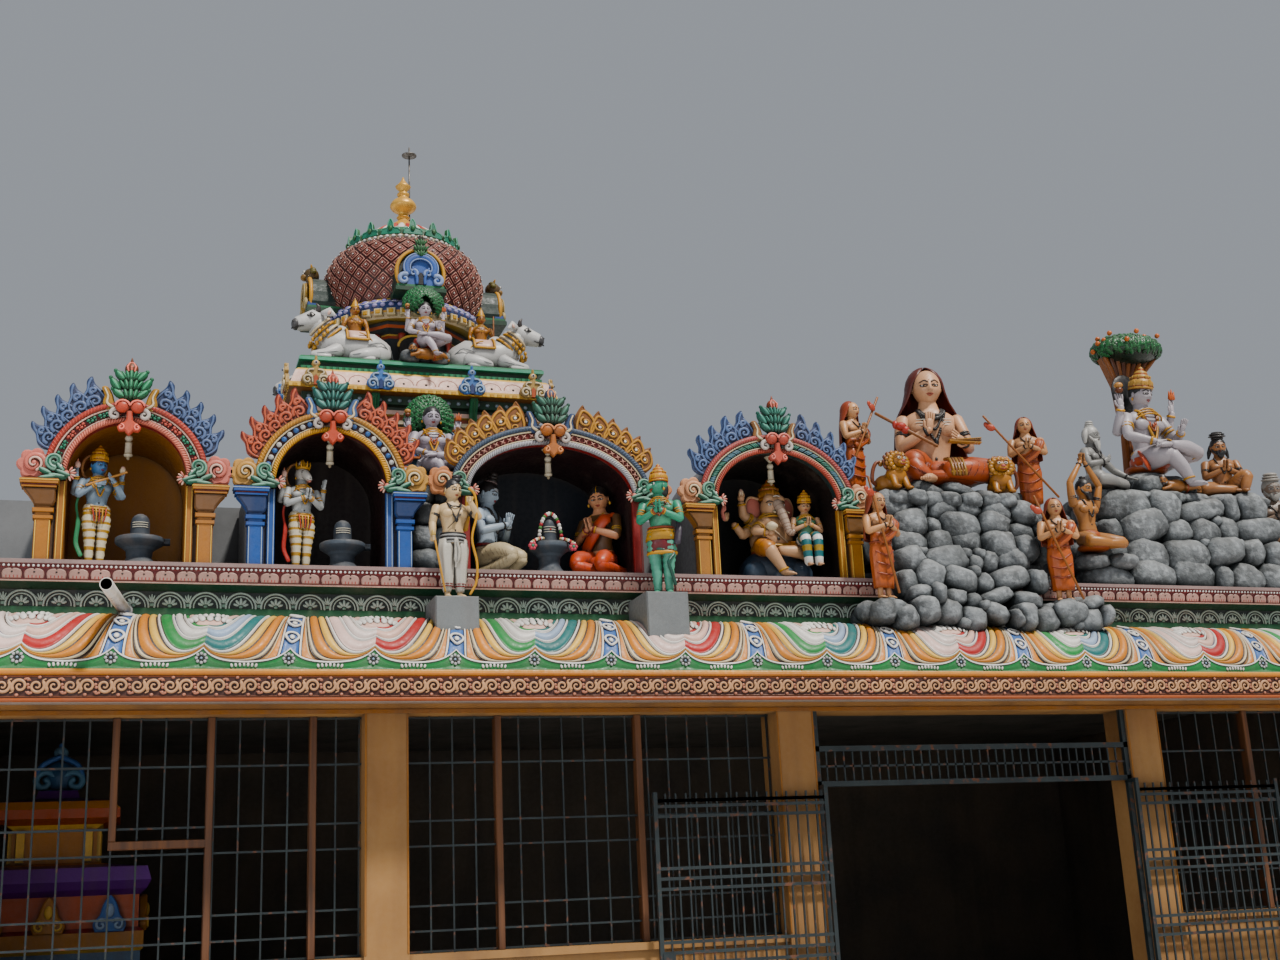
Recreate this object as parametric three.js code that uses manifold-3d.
// A temple front with its gopuram: a four-bay veranda hall, a painted eave, a parapet with four arched
// niches and two rock groups of plaster figures, and a domed tower on the roof.
// Millimetres, +Z up, the street front facing -Y. The origin is at ground level on the centre line of the
// second column, which stands under the tower, with Y = 0 at the front face of the columns.
import * as THREE from "three";
import { mergeVertices } from "three/addons/utils/BufferGeometryUtils.js";
import Module from "manifold-3d";

const wasm = await Module();
wasm.setup();

// Driving dimensions of the hall
const BAY = 3050;
const BAYS = 4;
const COLUMN = 300;
const WALL = 230;
const LEFT = -BAY - COLUMN / 2;
const RIGHT = LEFT + BAYS * BAY + COLUMN;
const DEPTH = 6100;
const PLINTH_TOP = 180;
const PLINTH_FRONT = -120;
const SILL_TOP = 1400;
const SILL_THICK = 50;
const BEAM_BOTTOM = 3000;
const BEAM_TOP = 3350;
const ROOF_TOP = 3500;

// Clearance kept between curved pieces that rest on each other
const SEAT_GAP = 0.4;

// Driving dimensions of the eave and parapet
const EAVE_REACH = 550;
const EAVE_TOP = 3640;
const EAVE_ROLL = 3200;
const FASCIA_BOTTOM = 3020;
const FASCIA_THICK = 70;
const SOFFIT = 3100;
const LEDGE_BOTTOM = 3830;
const LEDGE_TOP = 4000;
const LEDGE_REACH = 130;
const INFILL_FRONT = 820;
const INFILL_BACK = 950;
const INFILL_TOP = 4640;

// Driving dimensions of the tower on the roof
const TOWER_X = 480;
const TOWER_Y = 2080;
const STOREY_HALF = 930;
const CORNICE_HALF = 1080;
const CORNICE_BOTTOM = 5690;
const CORNICE_TOP = 5870;
const PLATFORM_TOP = 5990;
const NECK_TOP = 6500;
const DOME_TOP = 7640;

const root = new THREE.Group();

const PAINT = {
  cream: [0xc9a878, 0.85],
  ochre: [0xb5792e, 0.8],
  stone: [0x8d8d8d, 0.9],
  rock: [0x70767b, 0.95],
  green: [0x1f6b45, 0.7],
  maroon: [0x7c2c30, 0.75],
  pink: [0xc98f86, 0.8],
  white: [0xded8cf, 0.8],
  blue: [0x4c6fa8, 0.75],
  saffron: [0xb5562c, 0.85],
  skin: [0xc99c78, 0.8],
  leaf: [0x1c5a33, 0.8],
  gold: [0xd09a35, 0.4],
  steel: [0x2c3a3e, 0.55],
};

// Shapes: every shape below is a closed geometry, and a piece is a list of shapes joined at the end

function box(x0, x1, y0, y1, z0, z1) {
  const geometry = new THREE.BoxGeometry(x1 - x0, y1 - y0, z1 - z0);
  return geometry.translate((x0 + x1) / 2, (y0 + y1) / 2, (z0 + z1) / 2);
}

// Outline of [x, z] points seen from the street, made solid from y0 to y1
function front(points, y0, y1) {
  const shape = new THREE.Shape(points.map(([x, z]) => new THREE.Vector2(x, z)));
  const geometry = new THREE.ExtrudeGeometry(shape, { depth: y1 - y0, bevelEnabled: false });
  return geometry.rotateX(Math.PI / 2).translate(0, y1, 0);
}

// Section of [y, z] points run along X
function run(points, x0, x1) {
  const shape = new THREE.Shape(points.map(([y, z]) => new THREE.Vector2(y, z)));
  const geometry = new THREE.ExtrudeGeometry(shape, { depth: x1 - x0, bevelEnabled: false });
  return geometry.rotateY(Math.PI / 2).rotateX(Math.PI / 2).translate(x0, 0, 0);
}

// Profile of [radius, z] points turned about the Z axis; four sides make a square moulding
function turned(points, sides) {
  const square = sides === 4;
  const reach = square ? Math.SQRT2 : 1;
  const profile = points.map(([r, z]) => new THREE.Vector2(r * reach, z));
  const start = square ? Math.PI / 4 : Math.PI / sides;
  return new THREE.LatheGeometry(profile, sides, start).rotateX(Math.PI / 2);
}

// Tapered limb between two points
function limb(a, b, ra, rb, sides = 5) {
  const start = new THREE.Vector3(...a);
  const end = new THREE.Vector3(...b);
  const along = end.clone().sub(start);
  const up = new THREE.Vector3(0, 1, 0);
  const turn = new THREE.Quaternion().setFromUnitVectors(up, along.clone().normalize());
  const middle = start.add(end).multiplyScalar(0.5);
  const geometry = new THREE.CylinderGeometry(rb, ra, along.length(), sides);
  return geometry.applyQuaternion(turn).translate(middle.x, middle.y, middle.z);
}

// Rounded lump with its own three radii. It has only 20 faces, so it is made a little larger than its
// radii, and its faces then lie half inside and half outside the round form.
const LUMP_GROWTH = 1.12;

function lump(centre, radii, turn = 0) {
  const geometry = new THREE.IcosahedronGeometry(LUMP_GROWTH, 0);
  return geometry.rotateZ(turn).rotateX(turn * 1.7).scale(...radii).translate(...centre);
}

// Shapes turned about Z by degrees, then moved
function place(shapes, at, turn = 0) {
  const matrix = new THREE.Matrix4().makeRotationZ((turn * Math.PI) / 180).setPosition(...at);
  return shapes.map((shape) => shape.clone().applyMatrix4(matrix));
}

// Points of a half ellipse from its right springing over the top to its left one
function halfEllipse(cx, cz, a, b, steps, droop = 0) {
  const points = [];
  for (let i = 0; i <= steps; i++) {
    const t = -droop + ((Math.PI + 2 * droop) * i) / steps;
    points.push([cx + a * Math.cos(t), cz + b * Math.sin(t)]);
  }
  return points;
}

// Solids

function solid(shape) {
  const bare = shape.index ? shape.toNonIndexed() : shape.clone();
  bare.deleteAttribute("normal");
  bare.deleteAttribute("uv");
  const merged = mergeVertices(bare, 1e-3);
  const mesh = new wasm.Mesh({
    numProp: 3,
    vertProperties: new Float32Array(merged.attributes.position.array),
    triVerts: new Uint32Array(merged.index.array),
  });
  return new wasm.Manifold(mesh);
}

const join = (shapes) => shapes.map(solid).reduce((whole, next) => whole.add(next));

function cut(whole, shapes) {
  return shapes.map(solid).reduce((left, next) => left.subtract(next), whole);
}

// Triangles without the pockets closed up inside, where boulders meet: their shells have negative volume
function fillPockets(points, triangles) {
  const parent = Uint32Array.from({ length: points.length / 3 }, (_, i) => i);
  const shellOf = (i) => {
    while (parent[i] !== i) {
      parent[i] = parent[parent[i]];
      i = parent[i];
    }
    return i;
  };
  const corner = (i) => new THREE.Vector3().fromArray(points, i * 3);
  for (let t = 0; t < triangles.length; t += 3) {
    parent[shellOf(triangles[t + 1])] = shellOf(triangles[t]);
    parent[shellOf(triangles[t + 2])] = shellOf(triangles[t]);
  }
  const volumes = new Map();
  for (let t = 0; t < triangles.length; t += 3) {
    const [a, b, c] = [0, 1, 2].map((k) => corner(triangles[t + k]));
    const shell = shellOf(triangles[t]);
    volumes.set(shell, (volumes.get(shell) ?? 0) + a.dot(b.cross(c)));
  }
  return triangles.filter((_, i) => volumes.get(shellOf(triangles[i - (i % 3)])) > 0);
}

// Named mesh of a joined solid, set down at its place
function add(name, whole, paint, at = [0, 0, 0], turn = 0) {
  const { numProp, vertProperties, triVerts } = whole.getMesh();
  const count = vertProperties.length / numProp;
  const points = new Float32Array(count * 3);
  for (let i = 0; i < count; i++) {
    points.set(vertProperties.subarray(i * numProp, i * numProp + 3), i * 3);
  }
  const geometry = new THREE.BufferGeometry();
  geometry.setAttribute("position", new THREE.BufferAttribute(points, 3));
  geometry.setIndex(new THREE.BufferAttribute(fillPockets(points, new Uint32Array(triVerts)), 1));
  geometry.computeVertexNormals();
  const [color, roughness] = PAINT[paint];
  const metalness = paint === "steel" || paint === "gold" ? 0.6 : 0;
  const material = new THREE.MeshStandardMaterial({ color, roughness, metalness });
  const mesh = new THREE.Mesh(geometry, material);
  mesh.name = name;
  mesh.position.set(...at);
  mesh.rotation.z = (turn * Math.PI) / 180;
  root.add(mesh);
}

// Hall

const columnX = (i) => (i - 1) * BAY;

function makeHall() {
  add("plinth", join([box(LEFT, RIGHT, PLINTH_FRONT, DEPTH, 0, PLINTH_TOP)]), "stone");
  const half = COLUMN / 2;
  const column = join([box(-half, half, 0, COLUMN, 0, BEAM_BOTTOM - PLINTH_TOP)]);
  for (let i = 0; i <= BAYS; i++) {
    add("column_" + (i + 1), column, "cream", [columnX(i), 0, PLINTH_TOP]);
  }
  const side = join([box(0, WALL, COLUMN, DEPTH - WALL, PLINTH_TOP, BEAM_TOP)]);
  add("left_wall", side, "cream", [LEFT, 0, 0]);
  add("right_wall", side, "cream", [RIGHT - WALL, 0, 0]);
  add("back_wall", join([box(LEFT, RIGHT, DEPTH - WALL, DEPTH, PLINTH_TOP, BEAM_TOP)]), "cream");
  add("front_beam", join([box(LEFT, RIGHT, 0, COLUMN, BEAM_BOTTOM, BEAM_TOP)]), "ochre");
  add("roof_slab", join([box(LEFT, RIGHT, 0, DEPTH, BEAM_TOP, ROOF_TOP)]), "stone");
}

const spread = (from, to, count) =>
  Array.from({ length: count }, (_, i) => from + ((to - from) * i) / (count - 1));

// Square bars that cross in one sheet: xs and zs are their centre lines
function barSheet(xs, zs, bar, y0, y1) {
  const half = bar / 2;
  const [x0, x1, z0, z1] = [xs[0] - half, xs.at(-1) + half, zs[0] - half, zs.at(-1) + half];
  const uprights = xs.map((x) => box(x - half, x + half, y0, y1, z0, z1));
  const rails = zs.map((z) => box(x0, x1, y0, y1, z - half, z + half));
  return [...uprights, ...rails];
}

const DADO_FRONT = 60;
const SILL_FRONT = 30;
const GRILLE_Y = 150;
const GRILLE_BAR = 36;
const POST_WIDTH = 75;

// A bay closed by a low wall and a grille; posts are shares of the bay where its wooden posts stand
function makeWindow(bay, posts) {
  const [x0, x1] = [columnX(bay - 1) + COLUMN / 2, columnX(bay) - COLUMN / 2];
  const wall = box(x0, x1, DADO_FRONT, DADO_FRONT + WALL, PLINTH_TOP, SILL_TOP - SILL_THICK);
  const sill = box(x0, x1, SILL_FRONT, DADO_FRONT + WALL, SILL_TOP - SILL_THICK, SILL_TOP);
  add("dado_wall_" + bay, join([wall, sill]), "cream");
  const half = GRILLE_BAR / 2;
  const xs = spread(x0 + half, x1 - half, 4);
  const zs = spread(SILL_TOP + half, BEAM_BOTTOM - half, 3);
  const bars = barSheet(xs, zs, GRILLE_BAR, GRILLE_Y, GRILLE_Y + GRILLE_BAR);
  for (const share of posts) {
    const x = x0 + (x1 - x0) * share - POST_WIDTH / 2;
    bars.push(box(x, x + POST_WIDTH, GRILLE_Y - 20, GRILLE_Y + 60, SILL_TOP, BEAM_BOTTOM));
  }
  add("window_grille_" + bay, join(bars), "steel");
}

// Gate: a steel frame between the third and fourth columns, and two leaves that open flat outside
const GATE_BAY = 3;
const GATE_LEFT = columnX(GATE_BAY - 1) + COLUMN / 2;
const GATE_RIGHT = columnX(GATE_BAY) - COLUMN / 2;
const FRAME_BAR = 40;
const FRAME_Y = 20;
const GATE_TOP = 2420;
const GATE_BOTTOM = 200;
const LEAF_BAR = 30;
const PIVOT_IN = 25;
const PIVOT_Y = -60;
const MEETING_GAP = 10;
const TRANSOM = 2440;
const TRANSOM_TOP = 2740;
const LEAF_LENGTH = (GATE_RIGHT - GATE_LEFT) / 2 - PIVOT_IN - MEETING_GAP / 2;

// The open leaf lies from its pivot away from the doorway; side is -1 for the left one
function makeLeaf(name, pivot, side) {
  const half = LEAF_BAR / 2;
  const far = side * (LEAF_LENGTH - half);
  const xs = side < 0 ? spread(far, 0, 4) : spread(0, far, 4);
  const zs = spread(GATE_BOTTOM + 60, GATE_TOP - 30, 4);
  const sheet = barSheet(xs, zs, LEAF_BAR, -half, half);
  const stile = box(-half, half, -half, half, GATE_BOTTOM, GATE_TOP);
  add(name, join([...sheet, stile]), "steel", [pivot, PIVOT_Y, 0]);
}

function makeGate() {
  const back = FRAME_Y + FRAME_BAR;
  const half = FRAME_BAR / 2;
  const frame = [GATE_LEFT, GATE_RIGHT - FRAME_BAR].map((x) =>
    box(x, x + FRAME_BAR, FRAME_Y, back, PLINTH_TOP, BEAM_BOTTOM),
  );
  const xs = spread(GATE_LEFT + half, GATE_RIGHT - half, 5);
  frame.push(...barSheet(xs, [TRANSOM + half, TRANSOM_TOP - half], FRAME_BAR, FRAME_Y, back));
  const pivots = [GATE_LEFT + PIVOT_IN, GATE_RIGHT - PIVOT_IN];
  for (const pivot of pivots) {
    const [x0, x1] = [pivot - LEAF_BAR / 2, pivot + LEAF_BAR / 2];
    const [y0, y1] = [PIVOT_Y - LEAF_BAR / 2, FRAME_Y + 5];
    frame.push(box(x0, x1, y0, y1, PLINTH_TOP, GATE_BOTTOM - SEAT_GAP));
    frame.push(box(x0, x1, y0, y1, GATE_TOP + SEAT_GAP, TRANSOM + 10));
  }
  add("gate_frame", join(frame), "steel");
  makeLeaf("gate_leaf_left", pivots[0], -1);
  makeLeaf("gate_leaf_right", pivots[1], 1);
}

// Eave and parapet; grow moves the outer faces out, to cut what rests on them with a gap

function eaveSection(grow = 0) {
  const points = [
    [0, SOFFIT],
    [-EAVE_REACH + FASCIA_THICK, SOFFIT],
    [-EAVE_REACH + FASCIA_THICK, FASCIA_BOTTOM],
    [-EAVE_REACH - grow, FASCIA_BOTTOM],
  ];
  for (let degrees = 90; degrees >= 12; degrees -= 13) {
    const t = (degrees * Math.PI) / 180;
    const rise = (EAVE_TOP - EAVE_ROLL) * Math.cos(t);
    points.push([-EAVE_REACH * Math.sin(t) - grow, EAVE_ROLL + rise + grow]);
  }
  points.push([0, EAVE_TOP + grow]);
  return points;
}

function parapetSection(grow = 0) {
  return [
    [-grow, ROOF_TOP],
    [-grow, LEDGE_BOTTOM - grow],
    [-90 - grow, LEDGE_BOTTOM + 40 - grow],
    [-110 - grow, LEDGE_TOP - 40 - grow],
    [-LEDGE_REACH - grow, LEDGE_TOP - 25 - grow],
    [-LEDGE_REACH - grow, LEDGE_TOP + grow],
    [INFILL_BACK, LEDGE_TOP + grow],
    [INFILL_BACK, ROOF_TOP],
  ];
}

const eaveGrown = () => run(eaveSection(SEAT_GAP), LEFT, RIGHT);
const parapetGrown = () => run(parapetSection(SEAT_GAP), LEFT, RIGHT);

const SPOUT_START = [-1740, 80, 3692];
const SPOUT_END = [-1850, -850, 3694];
const SPOUT_RADIUS = 42;
const SPOUT_WALL = 6;

function makeEave() {
  add("eave", join([run(eaveSection(), LEFT, RIGHT)]), "pink");
  add("parapet", join([run(parapetSection(), LEFT, RIGHT)]), "green");
  const infill = box(LEFT, RIGHT, INFILL_FRONT, INFILL_BACK, LEDGE_TOP, INFILL_TOP);
  add("parapet_back_wall", join([infill]), "stone");
  const pipe = join([limb(SPOUT_START, SPOUT_END, SPOUT_RADIUS, SPOUT_RADIUS, 10)]);
  const [boreFrom, boreTo] = [[-1803, -680, 3719], [-1844.3, -870, 3714.5]];
  const bore = limb(boreFrom, boreTo, SPOUT_RADIUS - SPOUT_WALL, SPOUT_RADIUS - SPOUT_WALL, 10);
  const wall = box(-2500, -1000, -SEAT_GAP, 400, 3400, 4100);
  add("rain_spout", cut(pipe, [bore, wall]), "white");
}

// Niches

const SPRING = 4600;
const NICHE_DEPTH = 800;
const BACK_WALL = 80;
const HOOD = 150;
const HOOD_FRONT = -90;
const FLAME_REACH = 190;
const ARCH_STEPS = 10;

const NICHES = [
  { name: "niche_1", x: -1765, half: 385, rise: 385, pilaster: true, paint: "ochre", flames: 5 },
  { name: "niche_2", x: -395, half: 385, rise: 390, pilaster: true, paint: "blue", flames: 5 },
  { name: "niche_3", x: 1217, half: 620, rise: 375, pilaster: false, paint: "maroon", flames: 6 },
  { name: "niche_4", x: 3020, half: 500, rise: 400, pilaster: true, paint: "ochre", flames: 5 },
];

const bodyHalf = (niche) => niche.half + (niche.pilaster ? 190 : 75);

// Outline given for the right side, mirrored for the left, both from the niche's centre line
function sided(niche, side, points) {
  const outline = points.map(([dx, z]) => [niche.x + side * dx, z]);
  return side > 0 ? outline : outline.reverse();
}

// Row of flame-shaped leaves along one side of the hood, as one toothed outline
function flames(niche, side) {
  const [from, to] = [0.45, 1.36];
  const [a, b] = [niche.half + HOOD, niche.rise + HOOD];
  const at = (t, out) => [Math.cos(t) * (a + out), SPRING + Math.sin(t) * (b + out)];
  const step = (to - from) / niche.flames;
  const outline = [at(from, -40)];
  for (let i = 0; i < niche.flames; i++) {
    const t = from + i * step;
    outline.push(at(t + step * 0.05, 60), at(t + step * 0.65, FLAME_REACH), at(t + step * 0.97, 25));
  }
  outline.push(at(to, -40), at((from + to) / 2, -40));
  return front(sided(niche, side, outline), -60, 5);
}

function nicheSide(niche, side) {
  const { half, pilaster } = niche;
  const outline = (points) => sided(niche, side, points);
  const strip = [[half, LEDGE_TOP], [half + 55, LEDGE_TOP], [half + 55, SPRING], [half, SPRING]];
  const mouth = [
    [half - 20, 4545], [half + 250, 4555], [half + 275, 4760], [half + 170, 4800], [half + 30, 4700],
  ];
  const shapes = [front(outline(strip), -35, 5), front(outline(mouth), -110, 5), flames(niche, side)];
  if (pilaster) {
    const shaft = [
      [half + 80, LEDGE_TOP], [half + 185, LEDGE_TOP], [half + 185, 4430], [half + 80, 4430],
    ];
    const capital = [
      [half + 60, 4380], [half + 205, 4380], [half + 280, 4500], [half + 280, 4560], [half + 60, 4560],
    ];
    shapes.push(front(outline(shaft), -60, 5), front(outline(capital), -100, 30));
  }
  return shapes;
}

const CREST = [
  [45, -30], [70, 110], [150, 240], [110, 300], [85, 420], [0, 480],
];

function makeNiche(niche) {
  const { x, half, rise } = niche;
  const shellTop = halfEllipse(x, SPRING, half + HOOD - 20, rise + HOOD - 20, ARCH_STEPS);
  const hood = [
    ...halfEllipse(x, SPRING, half + HOOD, rise + HOOD, ARCH_STEPS, 0.06),
    ...halfEllipse(x, SPRING, half, rise, ARCH_STEPS, 0.06).reverse(),
  ];
  const top = SPRING + rise;
  const crestRight = CREST.map(([dx, dz]) => [x + dx, top + dz]);
  const crestLeft = CREST.slice(0, -1).map(([dx, dz]) => [x - dx, top + dz]).reverse();
  const mass = join([
    box(x - bodyHalf(niche), x + bodyHalf(niche), 0, NICHE_DEPTH, LEDGE_TOP, SPRING),
    front(shellTop, 0, NICHE_DEPTH),
    front(hood, HOOD_FRONT, 5),
    ...nicheSide(niche, -1),
    ...nicheSide(niche, 1),
    front([...crestRight, ...crestLeft], -130, 20),
  ]);
  const below = [[x - half, LEDGE_TOP - 1], [x + half, LEDGE_TOP - 1]];
  const back = NICHE_DEPTH - BACK_WALL;
  const mouth = front([...below, ...halfEllipse(x, SPRING, half, rise, ARCH_STEPS)], -200, back);
  const open = cut(mass, [mouth]);
  const lamp = join([
    limb([x, 60, top + 20], [x, 60, top - 75], 34, 20),
    limb([x, 60, top - 70], [x, 60, top - 190], 22, 12),
  ]);
  add(niche.name, open.add(lamp), niche.paint);
}

// Space a niche takes, a little larger, to cut what stands against it
function nicheGrown({ x, half, rise, pilaster }) {
  const reach = bodyHalf({ half, pilaster }) + 1;
  const arch = halfEllipse(x, SPRING, half + HOOD + 1, rise + HOOD + 1, ARCH_STEPS, 0.06);
  const flameReach = HOOD + FLAME_REACH + 10;
  const flames = halfEllipse(x, SPRING, half + flameReach, rise + flameReach, ARCH_STEPS);
  return [
    box(x - reach, x + reach, -101, NICHE_DEPTH + 1, LEDGE_TOP - 1, SPRING),
    box(x - half - 281, x + half + 281, -111, 31, 4370, 4801),
    front(arch, HOOD_FRONT - 1, NICHE_DEPTH + 1),
    front(flames, -131, 21),
  ];
}

// Plaster figures. A figure faces the street before it is turned; lengths are shares of its full height,
// and a hip above its seat or feet is the point that the arms and head are measured from.

const HIP = { standing: 0.5, seated: 0.08, turned: 0.08, perched: 0.08, kneeling: 0.2 };

// Elbow and hand of the right arm for each gesture
const ARMS = {
  prayer: [[0.17, -0.05, 0.12], [0.02, -0.15, 0.19]],
  down: [[0.18, -0.01, 0.13], [0.19, -0.04, -0.02]],
  rearUp: [[0.19, 0.02, 0.18], [0.2, -0.05, 0.33]],
  forward: [[0.18, -0.05, 0.12], [0.1, -0.17, 0.12]],
  chest: [[0.165, -0.05, 0.13], [0.03, -0.14, 0.2]],
  overhead: [[0.16, -0.03, 0.49], [0.03, -0.04, 0.72]],
  knee: [[0.2, -0.07, 0.13], [0.22, -0.22, 0.06]],
  raised: [[0.2, -0.08, 0.2], [0.06, -0.13, 0.34]],
};

// Hip and knee of the right leg for each way of sitting; a hanging leg has its foot too
const LEGS = {
  folded: [[0.08, 0, 0], [0.26, -0.2, 0]],
  tucked: [[0.08, 0, 0], [0.15, -0.18, 0]],
  aside: [[0.08, 0, 0], [0.26, -0.08, 0.02]],
  hanging: [[0.08, 0, 0], [0.12, -0.22, 0.03], [0.08, -0.24, -0.2]],
  kneeling: [[0.07, 0, -0.03], [0.08, -0.27, -0.12]],
};

// Ways of the left and right leg, and the reach of the seat to the left, right and front
const SEATS = {
  seated: { ways: ["folded", "folded"], left: 0.18, right: 0.18, front: 0.26 },
  turned: { ways: ["tucked", "aside"], left: 0.13, right: 0.15, front: 0.2 },
  perched: { ways: ["folded", "hanging"], left: 0.18, right: 0.1, front: 0.26 },
};

function person(height, pose, left, right, hat, more = []) {
  const hip = HIP[pose] * height;
  const P = ([x, y, z], side = 1) => [side * x * height, y * height, hip + z * height];
  const R = (share) => share * height;
  const flat = (shape) => shape.scale(1, 0.65, 1);
  const shapes = [
    flat(limb(P([0, 0, -0.02]), P([0, 0, 0.29]), R(0.105), R(0.15), 6)),
    limb(P([0, 0, 0.27]), P([0, 0, 0.36]), R(0.05), R(0.045)),
    lump(P([0, -0.01, 0.42]), [R(0.068), R(0.075), R(0.09)]),
  ];
  const arm = (gesture, side) => {
    const [elbow, hand] = ARMS[gesture];
    shapes.push(limb(P([0.135, 0, 0.265], side), P(elbow, side), R(0.045), R(0.035), 4));
    shapes.push(limb(P(elbow, side), P(hand, side), R(0.036), R(0.026), 4));
  };
  left.forEach((gesture) => arm(gesture, -1));
  right.forEach((gesture) => arm(gesture, 1));
  const leg = (way, side) => {
    const [top, knee, foot] = LEGS[way];
    shapes.push(limb(P(top, side), P(knee, side), R(0.075), R(0.055)));
    if (foot) shapes.push(limb(P(knee, side), P(foot, side), R(0.052), R(0.038), 4));
  };
  if (pose === "standing") {
    shapes.push(flat(limb(P([0, 0, -0.5]), P([0, 0, 0.03]), R(0.1), R(0.125), 6)));
  } else if (pose === "kneeling") {
    leg("kneeling", -1);
    leg("kneeling", 1);
    shapes.push(box(-R(0.1), R(0.1), -R(0.28), R(0.06), 0, R(0.08)));
  } else {
    const { ways, left: low, right: high, front: near } = SEATS[pose];
    leg(ways[0], -1);
    leg(ways[1], 1);
    shapes.push(box(-R(low), R(high), -R(near), R(0.1), 0, R(0.07)));
  }
  if (hat === "crown") shapes.push(limb(P([0, 0, 0.46]), P([0, 0, 0.62]), R(0.068), R(0.022)));
  if (hat === "bun") shapes.push(limb(P([0, 0.01, 0.47]), P([0, 0.01, 0.6]), R(0.05), R(0.055)));
  if (hat === "veil") shapes.push(limb(P([0, 0.035, 0.24]), P([0, 0.02, 0.52]), R(0.12), R(0.05)));
  for (const [from, to, ra, rb] of more) {
    shapes.push(limb(P(from), P(to), R(ra), R(rb), 4));
  }
  return shapes;
}

// Lingam on its round base, with a lip to the right
function makeLingam(name, x, y, scale, tall = scale) {
  const profile = [
    [0, 0], [150, 0], [150, 40], [100, 90], [100, 160], [175, 200], [175, 240], [70, 250],
    [70, 370], [50, 415], [0, 430],
  ].map(([r, z]) => [r * scale, z * tall]);
  const lip = box(0, 215 * scale, -35 * scale, 35 * scale, 200 * tall, 236 * tall);
  add(name, join([turned(profile, 8), lip]), "stone", [x, y, LEDGE_TOP]);
}

function makeNicheFigures() {
  const playing = ["rearUp", "raised"];
  const flute = [[-0.1, -0.13, 0.335], [0.24, -0.15, 0.345], 0.012, 0.012];
  const player = person(785, "standing", playing, playing, "crown", [flute]);
  add("flute_player", join(player), "skin", [-1955, 160, LEDGE_TOP], 18);
  const muzzle = [[0, -0.04, 0.42], [0, -0.17, 0.38], 0.055, 0.035];
  const raised = ["rearUp", "prayer"];
  const musician = person(780, "standing", raised, raised, "crown", [muzzle]);
  add("horse_faced_musician", join(musician), "skin", [-580, 160, LEDGE_TOP], 18);
  const leaningBun = [[0, -0.01, 0.46], [0.06, -0.05, 0.59], 0.05, 0.045];
  const sage = person(1060, "kneeling", ["prayer"], ["prayer"], "", [leaningBun]);
  add("kneeling_sage", join(sage), "skin", [800, 270, LEDGE_TOP], 30);
  const lady = person(1080, "kneeling", ["prayer"], ["prayer"], "");
  add("kneeling_lady", join(lady), "saffron", [1660, 300, LEDGE_TOP], -50);
  makeLingam("lingam_1", -1665, 160, 0.93);
  makeLingam("lingam_2", -292, 140, 0.92);
  makeLingam("lingam_3", 1230, 150, 0.85, 1.1);
  makeElephantGod();
}

// Seated on a boulder with one foot down, a small consort on the far knee
function makeElephantGod() {
  const rock = [lump([0, 40, 130], [270, 230, 190])];
  const body = [
    lump([0, 0, 400], [190, 150, 190]),
    lump([10, -30, 640], [105, 105, 125]),
    lump([-115, 10, 640], [75, 25, 95]),
    lump([125, 10, 640], [75, 25, 95]),
    limb([0, 0, 720], [0, 0, 930], 90, 25),
    limb([20, -110, 640], [60, -170, 500], 50, 38),
    limb([60, -170, 500], [70, -180, 390], 38, 26),
  ];
  const legs = [
    limb([-60, -60, 300], [-120, -210, 280], 85, 65),
    limb([-120, -210, 280], [-10, -250, 70], 62, 40),
    limb([60, -60, 290], [230, -150, 270], 80, 60),
  ];
  const arms = [
    limb([-140, 0, 480], [-270, -40, 400], 50, 40, 5),
    limb([-270, -40, 400], [-360, -60, 500], 38, 30, 5),
    limb([-140, 10, 500], [-260, -10, 690], 45, 28, 4),
    limb([150, 10, 500], [330, -20, 480], 45, 34, 5),
  ];
  const consort = [
    limb([230, -160, 290], [230, -160, 650], 52, 44),
    lump([230, -170, 680], [42, 44, 55]),
    limb([230, -165, 700], [230, -165, 800], 36, 10, 5),
    limb([230, -180, 330], [240, -240, 170], 45, 28),
  ];
  const floor = box(-600, 600, -600, 600, -400, 0);
  const god = cut(join([...rock, ...body, ...legs, ...arms, ...consort]), [floor]);
  add("elephant_headed_god", god, "skin", [3100, 310, LEDGE_TOP]);
}

// A statue on a pedestal that stands on the eave, in front of the parapet
function makePedestalStatue(name, figure, at, turn, [x0, x1, y0], paint) {
  const stand = box(x0, x1, y0, -5, 3300, at[2] + 5);
  const whole = join([stand, ...place(figure, at, turn)]);
  add(name, cut(whole, [eaveGrown(), parapetGrown()]), paint);
}

function makePedestalStatues() {
  const arrow = [[-0.19, -0.05, -0.02], [-0.1, -0.08, -0.45], 0.012, 0.012];
  const bow = [[0.17, -0.1, 0.25], [0.12, -0.09, -0.45], 0.012, 0.012];
  const archer = person(858, "standing", ["down"], ["raised"], "bun", [arrow, bow]);
  makePedestalStatue("archer_statue", archer, [425, -260, 3745], 8, [270, 578, -400], "skin");
  const beak = [[0, -0.06, 0.42], [0, -0.12, 0.39], 0.03, 0.008];
  const listener = person(895, "standing", ["prayer"], ["prayer"], "crown", [beak]);
  makePedestalStatue("parrot_faced_statue", listener, [1960, -300, 3795], -25, [1775, 2095, -450], "green");
}

// Teacher with one leg hanging, under a leafy canopy of the given height and radii, set across by aside
function teacher(height, back, [z, rx, ry, rz], aside = 0) {
  const figure = person(height, "perched", ["rearUp", "knee"], ["rearUp", "forward"], "crown");
  const post = limb([0, back, 0], [aside, back, z], 0.05 * height, 0.04 * height);
  const seat = box(-0.12 * height, 0.12 * height, 0, back, 0, 0.08 * height);
  return [...figure, post, seat, lump([aside, back, z], [rx, ry, rz])];
}

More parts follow.
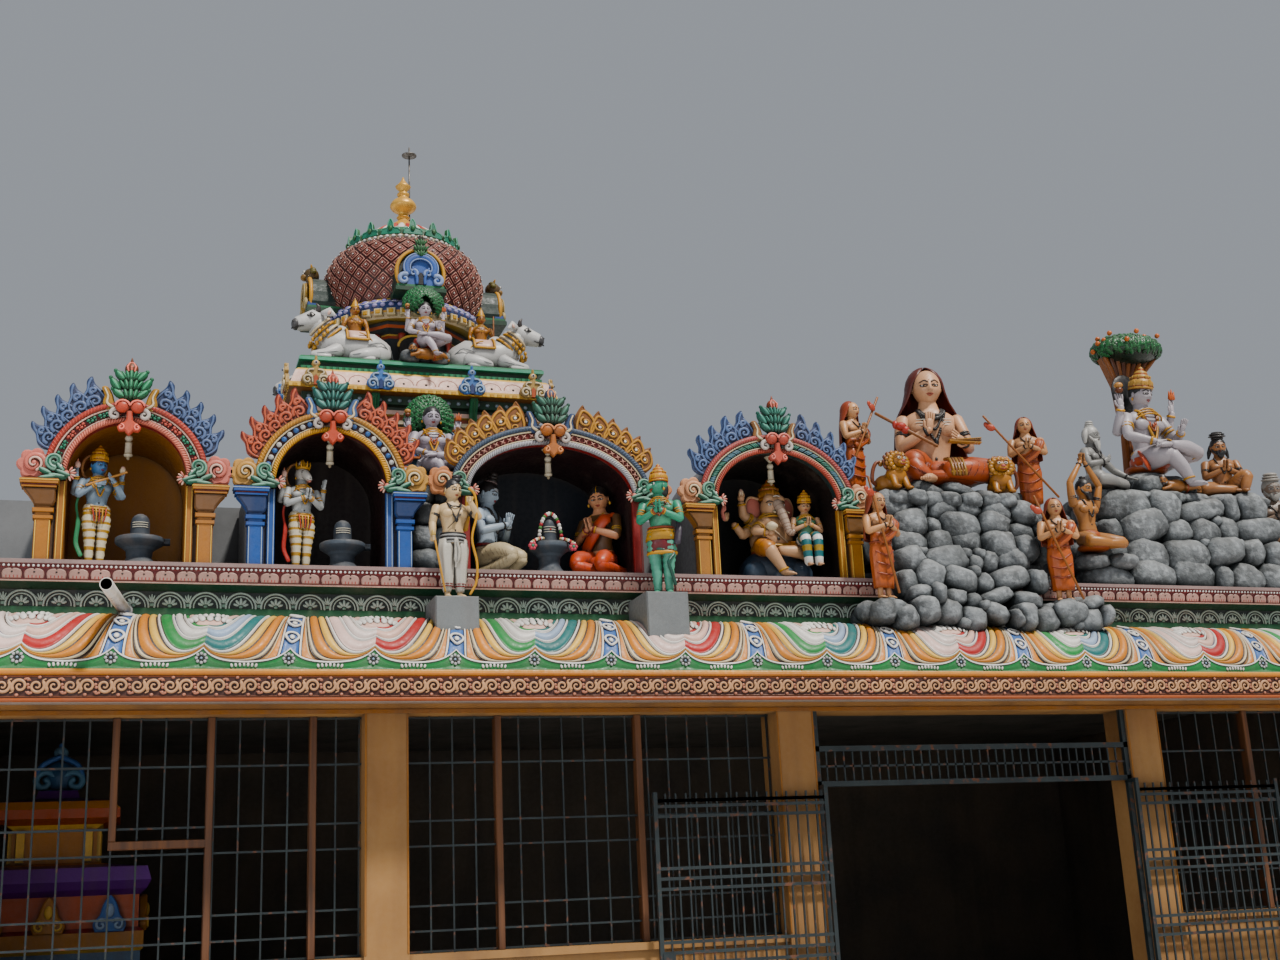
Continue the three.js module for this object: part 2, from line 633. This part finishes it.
function makeLowerTeacher() {
  const [x, y, z] = [390, 330, 4800];
  const rocks = [
    lump([350, 330, 4150], [230, 330, 260], 0.4),
    lump([370, 340, 4550], [210, 300, 270], 1.1),
    box(250, 460, 180, 520, LEDGE_TOP, z + 5),
  ];
  const figure = place(teacher(920, 170, [500, 195, 70, 200], 25), [x, y, z]);
  const below = box(-500, 1500, -500, 1500, 3500, LEDGE_TOP);
  const clear = [below, ...nicheGrown(NICHES[1]), ...nicheGrown(NICHES[2])];
  add("lower_teacher", cut(join([...rocks, ...figure]), clear), "leaf");
}

// Rock groups. A row says where its boulders stand: x from and to, y, z, their number and their radii

function seeded(seed) {
  let state = seed;
  return () => {
    state = (state * 16807) % 2147483647;
    return state / 2147483647;
  };
}

function boulders(seed, rows) {
  const random = seeded(seed);
  const shapes = [];
  for (const { x0, x1, y, z, count, r } of rows) {
    for (const x of spread(x0, x1, count)) {
      const radii = r.map((value) => value * (0.85 + 0.3 * random()));
      const centre = [x, y, z].map((value) => value + (random() - 0.5) * 60);
      shapes.push(lump(centre, radii, random() * 6));
    }
  }
  return shapes;
}

// Flat place cut into the rocks, with clear room above it
const standing = (x, y, z, r) => limb([x, y, z], [x, y, z + 900], r, r, 8);

function lion(facing) {
  return [
    limb([0, 60, 0], [0, 40, 210], 80, 70),
    lump([0, 10, 265], [85, 75, 85]),
    limb([0, -20, 245], [facing * 10, -95, 230], 45, 36, 4),
    box(-65, 65, -75, 60, 0, 110),
  ];
}

const MOUND_TOP = 4900;
const SAINT_SEAT = 4840;
const LEFT_MOUND = { from: 3460, to: 5700 };
const RIGHT_MOUND = { from: 5715, to: 8250 };

// What a rock group keeps clear of: its ends, its back, the eave and the parapet
function moundLimits({ from, to }) {
  return [
    box(from - 2000, from, -900, 1200, 3000, 6500),
    box(to, to + 2000, -900, 1200, 3000, 6500),
    box(from - 1, to + 1, INFILL_FRONT - 1, 1400, 3000, 6500),
    eaveGrown(),
    parapetGrown(),
  ];
}

// Each disciple's staff runs between two points in shares of height from the hip
const DISCIPLES = [
  {
    name: "disciple_1", at: [3900, 330, 4750], turn: 25, r: 215,
    staff: [[0.193, -0.194, 0.551], [-0.24, -0.1, -0.3]],
  },
  {
    name: "disciple_2", at: [5400, 120, 4630], turn: -25, r: 225,
    staff: [[-0.43, -0.33, 0.468], [0.248, -0.07, -0.351]],
  },
  {
    name: "disciple_3", at: [3740, -290, 3800], turn: 12, r: 150,
    staff: [[-0.156, -0.1, 0.625], [0.05, -0.145, -0.455]],
  },
  {
    name: "disciple_4", at: [5320, -290, 3810], turn: -20, r: 150,
    staff: [[-0.231, -0.223, 0.495], [0.157, -0.082, -0.49]],
  },
];

// Solid heart of a rock group: boxes from the parapet up, each with its front further back
function heart(steps) {
  return steps.map(([x0, x1, y, top]) => box(x0, x1, y, INFILL_FRONT - 10, LEDGE_TOP - 60, top));
}

function makeLeftMound() {
  const { from, to } = LEFT_MOUND;
  const rows = [
    { x0: from + 160, x1: to - 160, y: -220, z: 3690, count: 5, r: [250, 190, 190] },
    { x0: from + 560, x1: to - 340, y: -60, z: 4000, count: 5, r: [270, 230, 240] },
    { x0: from + 420, x1: to - 300, y: 90, z: 4340, count: 4, r: [300, 210, 240] },
    { x0: from + 560, x1: to - 420, y: 150, z: 4660, count: 3, r: [320, 200, 230] },
  ];
  const core = heart([
    [from + 60, to - 60, 60, 4000],
    [from + 420, to - 240, 60, 4480],
    [from + 460, to - 340, 130, SAINT_SEAT],
  ]);
  const lions = [
    ...place(lion(1), [4090, -40, 4750]),
    ...place(lion(-1), [5050, -40, 4750]),
  ];
  const lionShelf = box(3950, 5210, -90, 200, 4500, 4755);
  const trim = [
    box(from, to, -900, 1000, SAINT_SEAT, 6000),
    box(from, to, -900, 0, 4760, 6000),
    ...DISCIPLES.map(({ at: [x, y, z], r }) => standing(x, y, z, r)),
  ];
  const footings = DISCIPLES.map(({ at: [x, y, z] }) => lump([x, y, z - 100], [190, 150, 150], x));
  const rocks = cut(join([...boulders(11, rows), ...core, ...footings, lionShelf]), trim);
  const limits = [...moundLimits(LEFT_MOUND), ...nicheGrown(NICHES[3])];
  add("rock_mound_left", cut(rocks.add(join(lions)), limits), "rock");
}

// A staff, and the grip that joins it to the hand where it passes nearest
function held(hand, [top, foot], radius) {
  const along = foot.map((value, axis) => value - top[axis]);
  const dot = (a, b) => a.reduce((sum, value, axis) => sum + value * b[axis], 0);
  const toHand = hand.map((value, axis) => value - top[axis]);
  const share = dot(toHand, along) / dot(along, along);
  const nearest = top.map((value, axis) => value + share * along[axis]);
  return [[top, foot, radius, radius], [hand, nearest, 0.02, 0.018]];
}

function makeLeftFigures() {
  const saintStaff = held([-0.03, -0.14, 0.2], [[-0.312, -0.15, 0.263], [-0.043, -0.231, 0.082]], 0.009);
  const book = [[0.03, -0.2, 0.1], [0.15, -0.2, 0.14], 0.03, 0.03];
  const saint = person(1860, "turned", ["chest"], ["forward"], "veil", [...saintStaff, book]);
  add("seated_saint", join(saint), "saffron", [4650, 380, SAINT_SEAT]);
  for (const { name, at, turn, staff } of DISCIPLES) {
    const stick = held([0.02, -0.15, 0.19], staff, 0.013);
    const disciple = person(840, "standing", ["prayer"], ["prayer"], "veil", stick);
    add(name, join(disciple), "saffron", at, turn);
  }
}

const RAISED_SAGE = [5815, 0, 4275];
const PRAYING_SAGE = [7520, 330, MOUND_TOP];
const LOW_SHELF = { x: 7760, z: 4430 };
const TEACHER = [6830, 420, 5130];

function makeRightMound() {
  const { from, to } = RIGHT_MOUND;
  const rows = [
    { x0: from + 190, x1: to - 180, y: 90, z: 4140, count: 5, r: [320, 190, 240] },
    { x0: from + 330, x1: to - 260, y: 150, z: 4450, count: 4, r: [330, 210, 230] },
    { x0: from + 560, x1: to - 560, y: 200, z: 4740, count: 3, r: [360, 220, 240] },
  ];
  const core = heart([
    [from + 40, to - 40, 60, 4330],
    [from + 200, to - 150, 110, LOW_SHELF.z],
    [from + 300, to - 490, 150, MOUND_TOP],
  ]);
  const trim = [
    box(from, to, -900, 1000, MOUND_TOP, 6000),
    box(LOW_SHELF.x, to, -900, 1000, LOW_SHELF.z, 6000),
    standing(...RAISED_SAGE, 270),
    standing(TEACHER[0] + 120, 70, 4860, 165),
  ];
  const rocks = cut(join([...boulders(29, rows), ...core]), trim);
  const prayer = (height, hat) => person(height, "seated", ["prayer"], ["prayer"], hat);
  const sages = join([
    ...place(prayer(1000, ""), [6165, 300, MOUND_TOP - 5], 30),
    ...place(prayer(1120, "bun"), [7970, 260, LOW_SHELF.z - 5], -20),
  ]);
  const below = box(from, to, -900, 1000, 3000, LEDGE_TOP);
  add("rock_mound_right", cut(rocks.add(sages), [below, ...moundLimits(RIGHT_MOUND)]), "rock");
}

function makeRightFigures() {
  const figure = teacher(1460, 280, [1260, 395, 300, 170], 135);
  const drop = TEACHER[2] - MOUND_TOP;
  const seat = [
    lump([0, 60, -drop / 2], [290, 250, 150], 0.5),
    lump([60, -190, 60 - drop], [180, 70, 60]),
    box(-200, 200, -60, 280, -drop, 5),
  ];
  const floor = box(-900, 900, -900, 900, -drop - 500, -drop);
  add("teacher_under_tree", cut(join([...figure, ...seat]), [floor]), "leaf", TEACHER);
  const raised = person(900, "kneeling", ["overhead"], ["overhead"], "");
  add("arms_raised_sage", join(raised), "skin", RAISED_SAGE, 10);
  const praying = person(950, "seated", ["prayer"], ["prayer"], "bun");
  add("praying_sage", join(praying), "skin", PRAYING_SAGE, -20);
}

// Tower

const TOWER_AXIS = [TOWER_X, TOWER_Y, 0];
const STOREY_PROFILE = [
  [0, ROOF_TOP],
  [STOREY_HALF + 90, ROOF_TOP],
  [STOREY_HALF + 90, 3720],
  [STOREY_HALF, 3780],
  [STOREY_HALF, 5450],
  [STOREY_HALF + 35, 5460],
  [STOREY_HALF + 35, 5490],
  [STOREY_HALF, 5500],
  [STOREY_HALF, 5610],
  [STOREY_HALF + 45, 5625],
  [STOREY_HALF + 45, CORNICE_BOTTOM],
  [CORNICE_HALF, CORNICE_BOTTOM],
  [CORNICE_HALF, CORNICE_BOTTOM + 45],
  [CORNICE_HALF - 25, CORNICE_BOTTOM + 80],
  [CORNICE_HALF - 70, CORNICE_TOP],
  [0, CORNICE_TOP],
];

// Scroll ornament that stands on the edge of the cornice, centred at offset
function antefix(offset) {
  const right = [[80, 0], [85, 90], [0, 250]];
  const left = right.slice(0, -1).map(([u, v]) => [-u, v]).reverse();
  const outline = [...right, ...left].map(([u, v]) => [offset + u, CORNICE_BOTTOM + 15 + v]);
  return front(outline, -CORNICE_HALF - 30, -CORNICE_HALF + 75);
}

function makeStorey() {
  const shapes = [turned(STOREY_PROFILE, 4)];
  for (let k = 0; k < 4; k++) {
    const facing = [-880, -370, 370, 880].map(antefix);
    for (const x of [-400, 400]) {
      facing.push(box(x - 35, x + 35, -STOREY_HALF - 60, -STOREY_HALF + 5, 5450, CORNICE_BOTTOM));
    }
    shapes.push(...place(facing, [0, 0, 0], 90 * k));
  }
  add("tower_storey", join(shapes), "pink", TOWER_AXIS);
}

// A resting bull at a front corner of the platform, its head turned outwards
function bull(side) {
  const at = (u, v, w) => [side * u, v, w];
  return [
    lump(at(540, -760, 150), [290, 140, 155]),
    lump(at(650, -760, 230), [110, 85, 110]),
    limb(at(740, -775, 190), at(850, -800, 335), 125, 90),
    limb(at(850, -805, 360), at(1015, -830, 295), 92, 45),
    box(...[side * 420, side * 900].sort((a, b) => a - b), -900, -640, 0, 80),
  ];
}

const PLATFORM_PROFILE = [
  [0, CORNICE_TOP],
  [985, CORNICE_TOP],
  [985, 5905],
  [955, 5910],
  [955, 5945],
  [1000, 5950],
  [1000, PLATFORM_TOP],
  [0, PLATFORM_TOP],
];

const HERMITS = [[-506, -565], [568, -565]];

// Square platform with the rear pair of bulls and the small hermits beside the neck
function makePlatform() {
  const sunk = 4;
  const shapes = [turned(PLATFORM_PROFILE, 4)];
  for (const side of [-1, 1]) {
    shapes.push(...place(bull(side), [0, 0, PLATFORM_TOP - sunk], 180));
  }
  for (const [x, y] of HERMITS) {
    shapes.push(box(x - 60, x + 60, y - 35, y + 35, PLATFORM_TOP - sunk, PLATFORM_TOP + 60));
    const hermit = person(560, "standing", ["down"], ["down"], "crown");
    shapes.push(...place(hermit, [x, y, PLATFORM_TOP + 55]));
  }
  const under = box(-2000, 2000, 0, 2000, 5000, CORNICE_TOP);
  add("tower_platform", cut(join(shapes), [under]), "green", TOWER_AXIS);
}

function makeBulls() {
  const floor = box(-2000, 2000, -2000, 2000, -500, 0);
  for (const side of [-1, 1]) {
    const name = side < 0 ? "bull_left" : "bull_right";
    add(name, cut(join(bull(side)), [floor]), "white", [TOWER_X, TOWER_Y, PLATFORM_TOP]);
  }
}

// Small teacher on rocks at the front of the platform, a dwarf lying under the foot
function makeUpperTeacher() {
  const seat = 110;
  const rocks = [
    lump([0, 70, 40], [210, 140, 90], 0.7),
    box(-110, 110, -20, 120, 0, seat),
  ];
  const dwarf = [
    lump([-20, -85, 45], [150, 50, 45]),
  ];
  const figure = place(teacher(710, 30, [442, 170, 50, 115]), [0, 0, seat - 5]);
  const under = box(-500, 500, -500, 500, -400, 0);
  const whole = cut(join([...rocks, ...dwarf, ...figure]), [under]);
  add("upper_teacher", whole, "leaf", [TOWER_X + 10, TOWER_Y - 970, PLATFORM_TOP]);
}

const NECK_PROFILE = [
  [0, PLATFORM_TOP],
  [640, PLATFORM_TOP],
  [640, 6050],
  [560, 6080],
  [560, 6400],
  [620, 6440],
  [620, NECK_TOP],
  [0, NECK_TOP],
];

// Eight-sided neck with a shallow recess on each of the four main faces
function makeNeck() {
  const recess = box(-150, 150, -700, -490, 6120, 6390);
  const recesses = [0, 90, 180, 270].flatMap((turn) => place([recess], [0, 0, 0], turn));
  add("dome_neck", cut(join([turned(NECK_PROFILE, 8)]), recesses), "blue", TOWER_AXIS);
}

const GABLE_REACH = 850;
const GABLE_BACK = 300;
const GABLE_BASE = 6720;

// Horseshoe gable at the front of the dome
function gable() {
  const arch = [
    [-190, GABLE_BASE],
    [190, GABLE_BASE],
    [215, GABLE_BASE + 60],
    ...halfEllipse(0, GABLE_BASE + 120, 205, 215, 6),
    [-215, GABLE_BASE + 60],
  ];
  const right = [[60, 300], [75, 370], [30, 440]];
  const left = right.map(([u, v]) => [-u, v]).reverse();
  const crest = [...right, ...left].map(([u, v]) => [u, GABLE_BASE + v]);
  return [
    front(arch, -GABLE_REACH, -GABLE_BACK),
    front(crest, -GABLE_REACH - 20, -GABLE_REACH + 110),
    box(-260, 260, -GABLE_REACH - 30, -GABLE_BACK, GABLE_BASE - 60, GABLE_BASE + 5),
  ];
}

const DOME_PROFILE = [
  [0, NECK_TOP],
  [650, NECK_TOP],
  [700, 6560],
  [690, 6640],
  [620, 6700],
  [660, 6820],
  [690, 6970],
  [672, 7110],
  [600, 7240],
  [480, 7330],
  [490, 7385],
  [440, 7440],
  [300, 7560],
  [150, DOME_TOP],
  [0, DOME_TOP],
];

function makeDome() {
  const gables = [0, 90, 180, 270].flatMap((turn) => place(gable(), [0, 0, 0], turn));
  add("dome", join([turned(DOME_PROFILE, 16), ...gables]), "maroon", TOWER_AXIS);
}

const FINIAL_PROFILE = [
  [0, 0], [122, 0], [118, 25], [60, 75], [42, 105], [48, 130], [100, 165], [118, 200], [95, 245],
  [50, 280], [40, 300], [56, 315], [38, 335], [36, 355], [70, 395], [40, 430], [12, 470], [0, 495],
];

const ROD_OFFSET = [75, 106];
const ROD_RADIUS = 7;
const ROD_HEIGHT = 863;

function makeFinial() {
  add("finial", join([turned(FINIAL_PROFILE, 8)]), "gold", [TOWER_X, TOWER_Y, DOME_TOP]);
  const rod = limb([0, 0, 0], [0, 0, ROD_HEIGHT], ROD_RADIUS, ROD_RADIUS, 8);
  const disc = turned([[0, 762], [68, 768], [68, 776], [0, 786]], 10);
  const foot = [TOWER_X + ROD_OFFSET[0], TOWER_Y + ROD_OFFSET[1], DOME_TOP];
  add("lightning_rod", join([rod, disc]), "steel", foot);
}

// Inner shrine seen through the left grille
const SHRINE_HALF = 620;
const SHRINE_PROFILE = [
  [0, PLINTH_TOP],
  [SHRINE_HALF + 60, PLINTH_TOP],
  [SHRINE_HALF + 60, 900],
  [SHRINE_HALF - 20, 960],
  [SHRINE_HALF - 20, 1300],
  [SHRINE_HALF + 40, 1340],
  [SHRINE_HALF + 40, 1700],
  [SHRINE_HALF - 10, 1720],
  [SHRINE_HALF - 10, 1980],
  [SHRINE_HALF + 70, 2010],
  [SHRINE_HALF + 70, 2090],
  [SHRINE_HALF - 60, 2130],
  [SHRINE_HALF - 120, 2420],
  [300, 2470],
  [300, 2600],
  [120, 2880],
  [0, 2900],
];

function makeInnerShrine() {
  add("inner_shrine", join([turned(SHRINE_PROFILE, 4)]), "blue", [-2180, 2300, 0]);
}

makeHall();
makeWindow(1, [0.3, 0.66, 0.95]);
makeWindow(2, [0.24, 0.62]);
makeWindow(4, [0.35, 0.7]);
makeGate();
makeEave();
NICHES.forEach(makeNiche);
makeNicheFigures();
makePedestalStatues();
makeLowerTeacher();
makeLeftMound();
makeLeftFigures();
makeRightMound();
makeRightFigures();
makeStorey();
makePlatform();
makeBulls();
makeUpperTeacher();
makeNeck();
makeDome();
makeFinial();
makeInnerShrine();

export default root;
